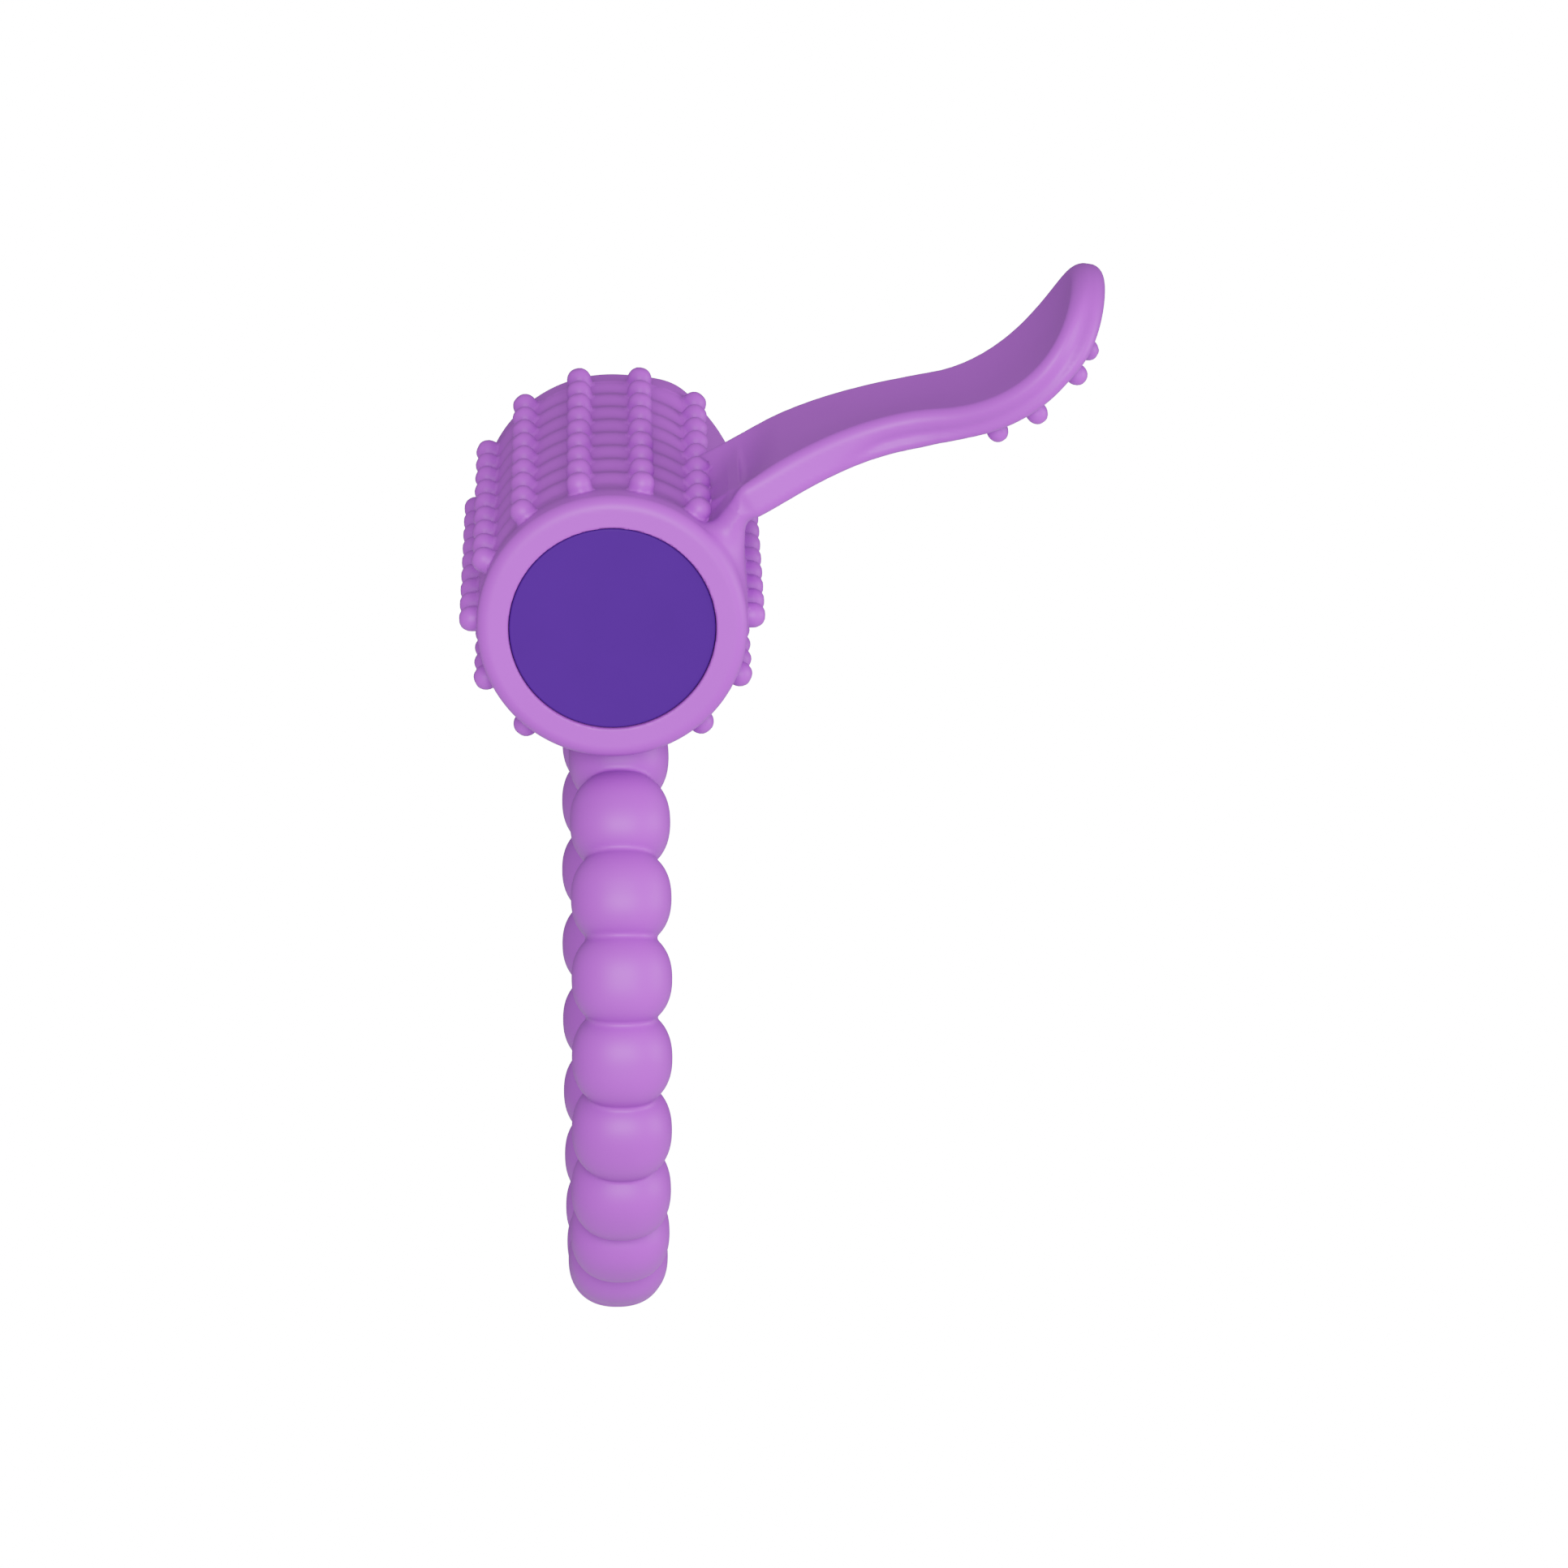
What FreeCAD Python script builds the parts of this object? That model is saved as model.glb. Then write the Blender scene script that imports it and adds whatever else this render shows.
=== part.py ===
import FreeCAD, Part
import math
import os

# Vibrating ring massager, all sizes in millimetres.
# Frame: +X towards the tongue, +Y along the sleeve from its open front to its closed rear, +Z up.
# Origin: centre of the beaded stretch ring.

# Beaded ring
BEAD_COUNT = 24
BEAD_RADIUS = 3.88
RING_PITCH_RADIUS = 24.1
RING_CORE_RADIUS = 2.6

# Sleeve
SLEEVE_LENGTH = 39.2
SLEEVE_AXIS_Z = 33.45
SLEEVE_FRONT_Y = -SLEEVE_LENGTH / 2
RIM_RADIUS = 10.5
RIM_EDGE_RADIUS = 1.0
RIM_SWELL = 0.03
REAR_RADIUS = 10.35
RIM_LIP_RADIUS = 0.2
GROOVE_RADIUS = 9.95
CREST_RADIUS = 10.45
REAR_EDGE_RADIUS = 1.2
REAR_WALL = 1.8
PUSH_OUT_HOLE_RADIUS = 2.5
RUNNING_CLEARANCE = 0.05

# Nubs on the sleeve: evenly spaced rows, one nub on every rib
NUB_ROW_SPACING = 360.0 / 14
NUB_PER_ROW = 9
NUB_FIRST = 3.5
NUB_PITCH = 4.025
NUB_RADIUS = 0.88
NUB_END_RADIUS = 0.95
NUB_EDGE_RADIUS = 0.5
NUB_TIP_RADIUS = 11.9
NUB_BASE_RADIUS = 8.9

# Neck, where the ring flexes against the sleeve
NECK_DROP = 12.2
NECK_RADIUS = 3.2
NECK_HALF_LENGTH = 13.5

# Tongue, set out along the line of its top face
TONGUE_CENTRE = 9.95
TONGUE_START_X = 8.35
TONGUE_START_Z = 10.05
TONGUE_ROOT_ANGLE = 28.0
TONGUE_STRAIGHT = 5.0
TONGUE_DROOP_RADIUS = 34.4
TONGUE_DROOP_ANGLE = 22.2
TONGUE_LIFT_RADIUS = 11.8
TONGUE_LIFT_ANGLE = 75.1
TONGUE_HALF_THICKNESS = 1.4
TONGUE_EDGE_RADIUS = 0.9
TONGUE_ROOT_HALF_WIDTH = 8.4
TONGUE_WAIST_HALF_WIDTH = 6.15
TONGUE_SPOON_HALF_WIDTH = 8.65
TONGUE_WAIST_AT = 15.5
TONGUE_SPOON_AT = 26.8
TONGUE_TIP_SHARE = 0.996
TONGUE_SECTIONS = 14
KNUCKLE_AT = 1.4
KNUCKLE_RADIUS = 1.65
BOSS_REACH = 2.05
BOSS_UPPER_ANGLE = 150.0
BOSS_LOWER_ANGLE = -75.0
SPOON_NUB_RADIUS = 0.85
SPOON_NUB_HEIGHT = 1.3
SPOON_NUB_EDGE_RADIUS = 0.6
SPOON_NUB_CENTRE = 25.0
SPOON_NUB_SPAN = 5.3
SPOON_NUB_SPREAD = 6.1
SPOON_NUB_FIRST_TURN = 33.0
SPOON_NUB_TURN = 31.5
SPOON_NUBS_PER_SIDE = 4

# Pad behind the tongue
PAD_HEIGHT = 0.35
PAD_BASE_RADIUS = 9.0
PAD_FIRST_ANGLE = 44
PAD_ANGLE_STEP = 4
PAD_STEPS = 6
PAD_REAR_MARGIN = 0.8

# Bullet
BULLET_RADIUS = 8.0
BULLET_RECESS = 0.2
BULLET_LENGTH = 36.6
BULLET_Y = SLEEVE_FRONT_Y + BULLET_RECESS
SHELL_WALL_RADIUS = 6.6
SHELL_MOUTH_RADIUS = 7.1
SHELL_END_WALL = 1.2
SHELL_END_FILLET = 3.0
CAP_LENGTH = 4.6
CAP_LIP_SETBACK = 1.05
CAP_LIP_RADIUS = 7.55
CAP_CAVITY_RADIUS = 5.4
SEAL_GROOVE_RADIUS = 6.1
SEAL_GROOVE_WIDTH = 1.0
SEAL_RADIUS = 6.58
SEAL_THICKNESS_RADIUS = 0.46
CONTACT_RING_OUTER = 6.95
CONTACT_RING_INNER = 5.5
CONTACT_RING_THICKNESS = 0.15
SKIRT_END = 8.6
SHELL_STEP = 8.9
BUTTON_FACE_THICKNESS = 0.5
BUTTON_EDGE_RADIUS = 0.15
BUTTON_THICKNESS = 1.5
BOOT_RADIUS = 4.4
BOOT_WALL = 0.7
PLUNGER_RADIUS = 1.6
WEB_FRONT = 2.4
WEB_BACK = 3.1
STEM_FRONT = 3.2
SWITCH_FRONT = 3.8
BOARD_FRONT = 4.9
BOARD_BACK = 5.6
SWITCH_SIZE = 4.4
SWITCH_WELL_RADIUS = 0.95
STEM_RADIUS = 0.9
STEM_LENGTH = 1.0
CHIP_Z = 3.7
CHIP_LEG_PITCH = 0.5
SPRING_WIRE_RADIUS = 0.22
SPRING_BOARD_RADIUS = 4.3
SPRING_TAPER = 2.6
SPRING_TURNS = 3
CELL_RADIUS = 5.8
CELL_LENGTH = 5.4
CELL_FRONT = 8.9
CELL_COUNT = 2
CELL_STEP_RADIUS = 4.7
CELL_STEP = 0.4
LINER_THICKNESS = 0.3
BULKHEAD_THICKNESS = 1.0
STRIP_WIDTH = 3.0
STRIP_OVERRUN = 2.2
CONTACT_RADIUS = 4.6
CONTACT_THICKNESS = 0.3
MOTOR_RADIUS = 4.0
MOTOR_FRONT = 22.4
MOTOR_BACK = 31.2
MOTOR_WALL = 0.25
MOTOR_END_WALL = 0.3
CRADLE_MARGIN = 0.6
END_CAP_THICKNESS = 0.9
TERMINAL_X = 2.4
TERMINAL_LENGTH = 0.35
MAGNET_INNER = 3.0
BUSH_RADIUS = 1.2
COMMUTATOR_RADIUS = 1.1
SHOE_RADIUS = 2.8
POLE_COUNT = 3
SHAFT_RADIUS = 0.5
WEIGHT_FRONT = 31.7
WEIGHT_BACK = 34.6
WEIGHT_RADIUS = 3.7
LEAD_RADIUS = 0.45

Y_AXIS = FreeCAD.Vector(0, 1, 0)


def save(name, shape):
    """Write one node as a STEP file."""
    shape.exportStep("parts/" + name + ".step")


def sleeve_point(x, s, z):
    """A point given from the sleeve's axis, s being the distance behind its front face."""
    return FreeCAD.Vector(x, SLEEVE_FRONT_Y + s, SLEEVE_AXIS_Z + z)


def bullet_point(x, b, z):
    """A point given from the sleeve's axis, b being the distance behind the bullet's front."""
    return FreeCAD.Vector(x, BULLET_Y + b, SLEEVE_AXIS_Z + z)


def rod(radius, front, back, x=0.0, z=0.0):
    """Cylinder along the bullet's axis direction."""
    return Part.makeCylinder(radius, back - front, bullet_point(x, front, z), Y_AXIS)


def tube(outer, inner, front, back, x=0.0, z=0.0):
    """Hollow cylinder along the bullet's axis direction."""
    return rod(outer, front, back, x, z).cut(rod(inner, front, back, x, z))


def block(width, front, back, height, x=0.0, z=0.0):
    """Box with its width along X and its height along Z, centred at x, z."""
    corner = bullet_point(x - width / 2, front, z - height / 2)
    return Part.makeBox(width, back - front, height, corner)


def prism(corners, front, back):
    """Solid with a cross-section of (x, z) corners from the sleeve's axis, between two depths."""
    wire = Part.makePolygon([sleeve_point(x, front, z) for x, z in corners + corners[:1]])
    return Part.Face(wire).extrude(FreeCAD.Vector(0, back - front, 0))


def arc(start, middle, end):
    """Arc edge through three (radius, distance behind front) points."""
    places = [sleeve_point(r, s, 0) for r, s in (start, middle, end)]
    return Part.Arc(*places).toShape()


def line(start, end):
    """Straight edge between two (radius, distance behind front) points."""
    return Part.makeLine(sleeve_point(start[0], start[1], 0), sleeve_point(end[0], end[1], 0))


# ---- silicone moulding ----

def ring_bead(index):
    """One bead of the stretch ring, counted from the top."""
    angle = 2 * math.pi * index / BEAD_COUNT
    centre = FreeCAD.Vector(0, math.sin(angle), math.cos(angle)) * RING_PITCH_RADIUS
    return Part.makeSphere(BEAD_RADIUS, centre)


def beaded_ring():
    """String of beads, cut away at the neck and given the knuckle that the sleeve flexes on."""
    core = Part.makeTorus(RING_PITCH_RADIUS, RING_CORE_RADIUS, FreeCAD.Vector(), FreeCAD.Vector(1, 0, 0))
    ring = core.multiFuse([ring_bead(index) for index in range(BEAD_COUNT)])
    neck_z = SLEEVE_AXIS_Z - NECK_DROP
    reach = 4 * BEAD_RADIUS
    corner = FreeCAD.Vector(-reach, -SLEEVE_LENGTH, neck_z)
    ring = ring.cut(Part.makeBox(2 * reach, 2 * SLEEVE_LENGTH, reach, corner))
    start = FreeCAD.Vector(0, -NECK_HALF_LENGTH, neck_z)
    knuckle = Part.makeCylinder(NECK_RADIUS, 2 * NECK_HALF_LENGTH, start, Y_AXIS)
    return ring.fuse(knuckle)


def barrel():
    """Ribbed barrel with a rounded front rim, turned about the sleeve's axis."""
    turn = RIM_EDGE_RADIUS * (1 - math.sqrt(0.5))
    first_groove = NUB_FIRST + NUB_PITCH / 2
    edges = []
    edges.append(line((0, 0), (RIM_RADIUS - RIM_EDGE_RADIUS, 0)))
    edge_middle = (RIM_RADIUS - turn, turn)
    edges.append(arc((RIM_RADIUS - RIM_EDGE_RADIUS, 0), edge_middle, (RIM_RADIUS, RIM_EDGE_RADIUS)))
    rim_middle = (RIM_RADIUS - RIM_SWELL, (RIM_EDGE_RADIUS + first_groove) / 2)
    edges.append(arc((RIM_RADIUS, RIM_EDGE_RADIUS), rim_middle, (GROOVE_RADIUS, first_groove)))
    for index in range(NUB_PER_ROW - 2):
        start = first_groove + index * NUB_PITCH
        crest = (CREST_RADIUS, start + NUB_PITCH / 2)
        edges.append(arc((GROOVE_RADIUS, start), crest, (GROOVE_RADIUS, start + NUB_PITCH)))
    last_groove = first_groove + (NUB_PER_ROW - 2) * NUB_PITCH
    rear_start = SLEEVE_LENGTH - REAR_EDGE_RADIUS
    crest = (CREST_RADIUS, last_groove + NUB_PITCH / 2)
    edges.append(arc((GROOVE_RADIUS, last_groove), crest, (REAR_RADIUS, rear_start)))
    turn = REAR_EDGE_RADIUS * (1 - math.sqrt(0.5))
    middle = (REAR_RADIUS - turn, SLEEVE_LENGTH - turn)
    rear_face = (REAR_RADIUS - REAR_EDGE_RADIUS, SLEEVE_LENGTH)
    edges.append(arc((REAR_RADIUS, rear_start), middle, rear_face))
    edges.append(line(rear_face, (0, SLEEVE_LENGTH)))
    edges.append(line((0, SLEEVE_LENGTH), (0, 0)))
    return Part.Face(Part.Wire(edges)).revolve(sleeve_point(0, 0, 0), Y_AXIS, 360)


def nub(radius, edge_radius, base, tip):
    """Post with a flat end and a well-rounded edge, between two points."""
    post = Part.makeCylinder(radius, (tip - base).Length, base, tip - base)
    farthest = max(post.Edges, key=lambda edge: (edge.CenterOfMass - base).Length)
    return post.makeFillet(edge_radius, [farthest])


def nub_rows():
    """Rows of nubs round the sleeve, left out over the neck and at the tongue's root."""
    nubs = []
    for row in range(-6, 6):
        angle = math.radians((row + 0.5) * NUB_ROW_SPACING)
        if row == 2:
            continue
        for index in range(NUB_PER_ROW):
            s = NUB_FIRST + index * NUB_PITCH
            radius = NUB_END_RADIUS if index in (0, NUB_PER_ROW - 1) else NUB_RADIUS
            base = sleeve_point(NUB_BASE_RADIUS * math.sin(angle), s, NUB_BASE_RADIUS * math.cos(angle))
            tip = sleeve_point(NUB_TIP_RADIUS * math.sin(angle), s, NUB_TIP_RADIUS * math.cos(angle))
            nubs.append(nub(radius, NUB_EDGE_RADIUS, base, tip))
    return nubs


def knuckle_centre():
    """Place (x, z) of the tongue's flexing axis, from the sleeve's axis."""
    x, z, angle = tongue_line(KNUCKLE_AT)
    return x + TONGUE_HALF_THICKNESS * math.sin(angle), z - TONGUE_HALF_THICKNESS * math.cos(angle)


def tongue_boss():
    """Web between the barrel and the tongue's root, which cups the knuckle from behind."""
    corners = [(7.2, 7.9), (6.9, 6.9), (8.9, 1.5), (10.2, 1.6), (10.3, 5.0), (10.5, 7.0)]
    knuckle_x, knuckle_z = knuckle_centre()
    for angle in (BOSS_LOWER_ANGLE, BOSS_UPPER_ANGLE):
        x = knuckle_x + BOSS_REACH * math.cos(math.radians(angle))
        z = knuckle_z + BOSS_REACH * math.sin(math.radians(angle))
        corners.append((x, z))
    front = TONGUE_CENTRE - TONGUE_ROOT_HALF_WIDTH
    back = TONGUE_CENTRE + TONGUE_ROOT_HALF_WIDTH
    return prism(corners, front, back)


def rear_pad():
    """Low smooth pad on the barrel behind the tongue."""
    radius = CREST_RADIUS + PAD_HEIGHT
    angles = [math.radians(PAD_FIRST_ANGLE + PAD_ANGLE_STEP * step) for step in range(PAD_STEPS)]
    outer = [(radius * math.sin(angle), radius * math.cos(angle)) for angle in angles]
    angles.reverse()
    inner = [(PAD_BASE_RADIUS * math.sin(angle), PAD_BASE_RADIUS * math.cos(angle)) for angle in angles]
    front = TONGUE_CENTRE + TONGUE_ROOT_HALF_WIDTH - 1
    return prism(outer + inner, front, SLEEVE_LENGTH - PAD_REAR_MARGIN)


def knuckle_rod(radius, half_length):
    """Cylinder on the tongue's flexing axis."""
    x, z = knuckle_centre()
    start = sleeve_point(x, TONGUE_CENTRE - half_length, z)
    return Part.makeCylinder(radius, 2 * half_length, start, Y_AXIS)


def sleeve():
    """Ribbed, nubbed sleeve that holds the bullet."""
    body = barrel().multiFuse(nub_rows() + [tongue_boss(), rear_pad()])
    bore_end = SLEEVE_LENGTH - REAR_WALL
    bore_radius = BULLET_RADIUS + RUNNING_CLEARANCE
    bore = Part.makeCylinder(bore_radius, bore_end + 5, sleeve_point(0, -5, 0), Y_AXIS)
    flare_radius = bore_radius + RIM_LIP_RADIUS
    flare = Part.makeCone(flare_radius, bore_radius, RIM_LIP_RADIUS, sleeve_point(0, 0, 0), Y_AXIS)
    hole = Part.makeCylinder(PUSH_OUT_HOLE_RADIUS, REAR_WALL + 5, sleeve_point(0, bore_end - 1, 0), Y_AXIS)
    start = FreeCAD.Vector(0, -NECK_HALF_LENGTH - 0.1, SLEEVE_AXIS_Z - NECK_DROP)
    groove_length = 2 * NECK_HALF_LENGTH + 0.2
    groove = Part.makeCylinder(NECK_RADIUS + RUNNING_CLEARANCE, groove_length, start, Y_AXIS)
    seat = knuckle_rod(KNUCKLE_RADIUS + RUNNING_CLEARANCE, TONGUE_ROOT_HALF_WIDTH + 1)
    return body.cut(bore).cut(flare).cut(hole).cut(groove).cut(seat)


def tongue_line(s):
    """Point (x, z) and direction angle of the tongue's top line, s along it from its start."""
    angle = math.radians(TONGUE_ROOT_ANGLE)
    straight = min(s, TONGUE_STRAIGHT)
    x = TONGUE_START_X + straight * math.cos(angle)
    z = TONGUE_START_Z + straight * math.sin(angle)
    droop = min(max(s - TONGUE_STRAIGHT, 0) / TONGUE_DROOP_RADIUS, math.radians(TONGUE_DROOP_ANGLE))
    x += TONGUE_DROOP_RADIUS * (math.sin(angle) - math.sin(angle - droop))
    z += TONGUE_DROOP_RADIUS * (math.cos(angle - droop) - math.cos(angle))
    angle -= droop
    droop_length = TONGUE_DROOP_RADIUS * math.radians(TONGUE_DROOP_ANGLE)
    lift = max(s - TONGUE_STRAIGHT - droop_length, 0) / TONGUE_LIFT_RADIUS
    x += TONGUE_LIFT_RADIUS * (math.sin(angle + lift) - math.sin(angle))
    z += TONGUE_LIFT_RADIUS * (math.cos(angle) - math.cos(angle + lift))
    return x, z, angle + lift


def tongue_length():
    """Length of the tongue's top line."""
    bends = TONGUE_DROOP_RADIUS * TONGUE_DROOP_ANGLE + TONGUE_LIFT_RADIUS * TONGUE_LIFT_ANGLE
    return TONGUE_STRAIGHT + math.radians(bends)


def blend(start, end, t):
    """Value that eases from start to end as t goes from 0 to 1."""
    return start + (end - start) * (1 - math.cos(math.pi * t)) / 2


def tongue_half_width(s):
    """Half of the tongue's width at s along it: wide root, waist, wider spoon, round tip."""
    if s < TONGUE_WAIST_AT:
        return blend(TONGUE_ROOT_HALF_WIDTH, TONGUE_WAIST_HALF_WIDTH, s / TONGUE_WAIST_AT)
    if s < TONGUE_SPOON_AT:
        share = (s - TONGUE_WAIST_AT) / (TONGUE_SPOON_AT - TONGUE_WAIST_AT)
        return blend(TONGUE_WAIST_HALF_WIDTH, TONGUE_SPOON_HALF_WIDTH, share)
    share = (s - TONGUE_SPOON_AT) / (tongue_length() - TONGUE_SPOON_AT)
    return TONGUE_SPOON_HALF_WIDTH * math.sqrt(max(1 - share ** 2, 0))


def tongue_section(s):
    """Rounded rectangle across the tongue at s along its top line."""
    x, z, angle = tongue_line(s)
    across = FreeCAD.Vector(0, 1, 0)
    up = FreeCAD.Vector(-math.sin(angle), 0, math.cos(angle))
    thick = TONGUE_HALF_THICKNESS
    centre = sleeve_point(x, TONGUE_CENTRE, z) - up * thick
    width = tongue_half_width(s)
    corner = min(TONGUE_EDGE_RADIUS, 0.6 * width)
    turn = corner * (1 - math.sqrt(0.5))
    edges = []
    for side_y, side_z in ((1, 1), (-1, 1), (-1, -1), (1, -1)):
        ends = []
        for inset_y, inset_z in ((0, corner), (turn, turn), (corner, 0)):
            offset = across * (side_y * (width - inset_y)) + up * (side_z * (thick - inset_z))
            ends.append(centre + offset)
        if side_y * side_z < 0:
            ends.reverse()
        if edges:
            last = edges[-1].Vertexes[-1].Point
            edges.append(Part.makeLine(last, ends[0]))
        edges.append(Part.Arc(*ends).toShape())
    edges.append(Part.makeLine(edges[-1].Vertexes[-1].Point, edges[0].Vertexes[0].Point))
    return Part.Wire(edges)


def spoon_nubs():
    """Two curved rows of nubs under the spoon."""
    nubs = []
    thickness = 2 * TONGUE_HALF_THICKNESS
    for side in (-1, 1):
        for index in range(SPOON_NUBS_PER_SIDE):
            turn = math.radians(SPOON_NUB_FIRST_TURN + SPOON_NUB_TURN * index)
            x, z, angle = tongue_line(SPOON_NUB_CENTRE + SPOON_NUB_SPAN * math.cos(turn))
            y = TONGUE_CENTRE + side * SPOON_NUB_SPREAD * math.sin(turn)
            down_x, down_z = math.sin(angle), -math.cos(angle)
            base = sleeve_point(x + down_x, y, z + down_z)
            reach = thickness + SPOON_NUB_HEIGHT
            tip = sleeve_point(x + reach * down_x, y, z + reach * down_z)
            nubs.append(nub(SPOON_NUB_RADIUS, SPOON_NUB_EDGE_RADIUS, base, tip))
    return nubs


def tongue():
    """Curved flat tongue with a spoon tip, on the knuckle that it flexes on."""
    end = TONGUE_TIP_SHARE * tongue_length()
    wires = []
    for index in range(TONGUE_SECTIONS):
        share = math.sin(math.pi / 2 * index / (TONGUE_SECTIONS - 1))
        wires.append(tongue_section(KNUCKLE_AT + (end - KNUCKLE_AT) * share))
    blade = Part.makeLoft(wires, True, False)
    pieces = [knuckle_rod(KNUCKLE_RADIUS, TONGUE_ROOT_HALF_WIDTH)]
    return blade.multiFuse(pieces + spoon_nubs())


# ---- battery cap and button ----

def push_button():
    """Button face as wide as the bullet, with the guide and the plunger behind it."""
    face = rod(BULLET_RADIUS, 0, BUTTON_FACE_THICKNESS)
    rims = [edge for edge in face.Edges if edge.BoundBox.YMax < BULLET_Y + 0.01]
    face = face.makeFillet(BUTTON_EDGE_RADIUS, rims)
    guide = rod(CAP_LIP_RADIUS - RUNNING_CLEARANCE, BUTTON_FACE_THICKNESS, BUTTON_THICKNESS)
    return face.multiFuse([guide, rod(PLUNGER_RADIUS, BUTTON_THICKNESS, STEM_FRONT)])


def button_boot():
    """Elastomer boot that returns the button."""
    return tube(BOOT_RADIUS, BOOT_RADIUS - BOOT_WALL, BUTTON_THICKNESS, WEB_FRONT)


def battery_cap():
    """Screw cap: collar behind the button's face, web behind it, and the skirt that enters the shell."""
    collar = tube(BULLET_RADIUS, CAP_LIP_RADIUS, CAP_LIP_SETBACK, WEB_FRONT)
    web = tube(BULLET_RADIUS, PLUNGER_RADIUS + RUNNING_CLEARANCE, WEB_FRONT, WEB_BACK)
    wall = tube(BULLET_RADIUS, CAP_CAVITY_RADIUS, WEB_BACK, CAP_LENGTH)
    skirt = tube(SHELL_MOUTH_RADIUS - RUNNING_CLEARANCE, CAP_CAVITY_RADIUS, CAP_LENGTH, SKIRT_END)
    groove_start = CAP_LENGTH + 0.2
    groove = tube(SHELL_MOUTH_RADIUS + 1, SEAL_GROOVE_RADIUS, groove_start, groove_start + SEAL_GROOVE_WIDTH)
    return collar.multiFuse([web, wall, skirt]).cut(groove).removeSplitter()


def cap_o_ring():
    """Seal in the cap's groove."""
    centre = bullet_point(0, CAP_LENGTH + 0.7, 0)
    return Part.makeTorus(SEAL_RADIUS, SEAL_THICKNESS_RADIUS, centre, Y_AXIS)


def cap_contact_ring():
    """Brass ring on the end of the cap's skirt, which meets the conductor strip."""
    back = SKIRT_END + CONTACT_RING_THICKNESS
    return tube(CONTACT_RING_OUTER, CONTACT_RING_INNER, SKIRT_END, back)


def switch_board():
    """Round circuit board in the cap."""
    return rod(CAP_CAVITY_RADIUS - RUNNING_CLEARANCE, BOARD_FRONT, BOARD_BACK)


def tact_switch():
    """Square tactile switch with a well for its stem."""
    body = block(SWITCH_SIZE, SWITCH_FRONT, BOARD_FRONT, SWITCH_SIZE)
    well = rod(SWITCH_WELL_RADIUS, SWITCH_FRONT, BOARD_FRONT - 0.1)
    legs = []
    for x in (-2.5, 2.5):
        for z in (-1.5, 1.5):
            legs.append(block(0.7, BOARD_FRONT - 0.25, BOARD_FRONT, 0.5, x, z))
    return body.cut(well).multiFuse(legs)


def switch_stem():
    """Stem of the switch, which the button's plunger pushes."""
    return rod(STEM_RADIUS, STEM_FRONT, STEM_FRONT + STEM_LENGTH)


def controller_chip():
    """Eight-leg driver chip on the board."""
    body = block(2.0, BOARD_FRONT - 0.8, BOARD_FRONT - 0.1, 1.3, 0, CHIP_Z)
    legs = []
    for side in (-1, 1):
        for step in range(4):
            x = CHIP_LEG_PITCH * (step - 1.5)
            legs.append(block(0.2, BOARD_FRONT - 0.4, BOARD_FRONT, 0.3, x, CHIP_Z + side * 0.75))
    return body.multiFuse(legs)


def board_components():
    """Small resistors and capacitors on the board, as separate solids."""
    places = [(-1.5, -3.7), (0.0, -3.7), (1.5, -3.7), (-3.7, 0.6), (3.7, 0.6), (-3.7, -0.8), (3.7, -0.8)]
    return Part.makeCompound([block(0.9, BOARD_FRONT - 0.5, BOARD_FRONT, 0.6, x, z) for x, z in places])


def battery_spring():
    """Conical contact spring between the board and the front cell."""
    front = BOARD_BACK + SPRING_WIRE_RADIUS
    height = CELL_FRONT - BOARD_BACK - 2 * SPRING_WIRE_RADIUS
    taper = -math.degrees(math.atan(SPRING_TAPER / height))
    helix = Part.makeHelix(height / SPRING_TURNS, height, SPRING_BOARD_RADIUS, taper)
    start = helix.Vertexes[0].Point
    circle = Part.Wire(Part.makeCircle(SPRING_WIRE_RADIUS, start, FreeCAD.Vector(0, 1, 0)))
    coil = Part.Wire(helix.Edges).makePipeShell([circle], True, True)
    coil.rotate(FreeCAD.Vector(), FreeCAD.Vector(1, 0, 0), -90)
    coil.translate(bullet_point(0, front, 0))
    return coil


# ---- bullet ----

def bullet_shell():
    """Plastic shell of the bullet with a rounded closed end."""
    body = rod(BULLET_RADIUS, CAP_LENGTH, BULLET_LENGTH)
    rims = [edge for edge in body.Edges if edge.BoundBox.YMin > BULLET_Y + BULLET_LENGTH - 0.01]
    body = body.makeFillet(SHELL_END_FILLET, rims)
    mouth = rod(SHELL_MOUTH_RADIUS, CAP_LENGTH, SHELL_STEP)
    bore = rod(SHELL_WALL_RADIUS, SHELL_STEP, BULLET_LENGTH - SHELL_END_WALL - 2)
    nose = rod(WEIGHT_RADIUS + 1, BULLET_LENGTH - SHELL_END_WALL - 2, BULLET_LENGTH - SHELL_END_WALL)
    return body.cut(mouth).cut(bore).cut(nose)


def button_cell(index):
    """Button cell with its stepped negative face towards the cap."""
    front = CELL_FRONT + index * CELL_LENGTH
    can = rod(CELL_RADIUS, front + CELL_STEP, front + CELL_LENGTH)
    rims = [edge for edge in can.Edges if edge.Curve.TypeId == "Part::GeomCircle"]
    can = can.makeFillet(0.3, rims)
    return can.fuse(rod(CELL_STEP_RADIUS, front, front + CELL_STEP + 0.1))


def battery_liner():
    """Insulating tube round the cells."""
    inner = CELL_RADIUS + RUNNING_CLEARANCE
    return tube(inner + LINER_THICKNESS, inner, CELL_FRONT + 0.2, cells_end() - 0.2)


def cells_end():
    """Depth of the rear face of the last cell."""
    return CELL_FRONT + CELL_COUNT * CELL_LENGTH


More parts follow.
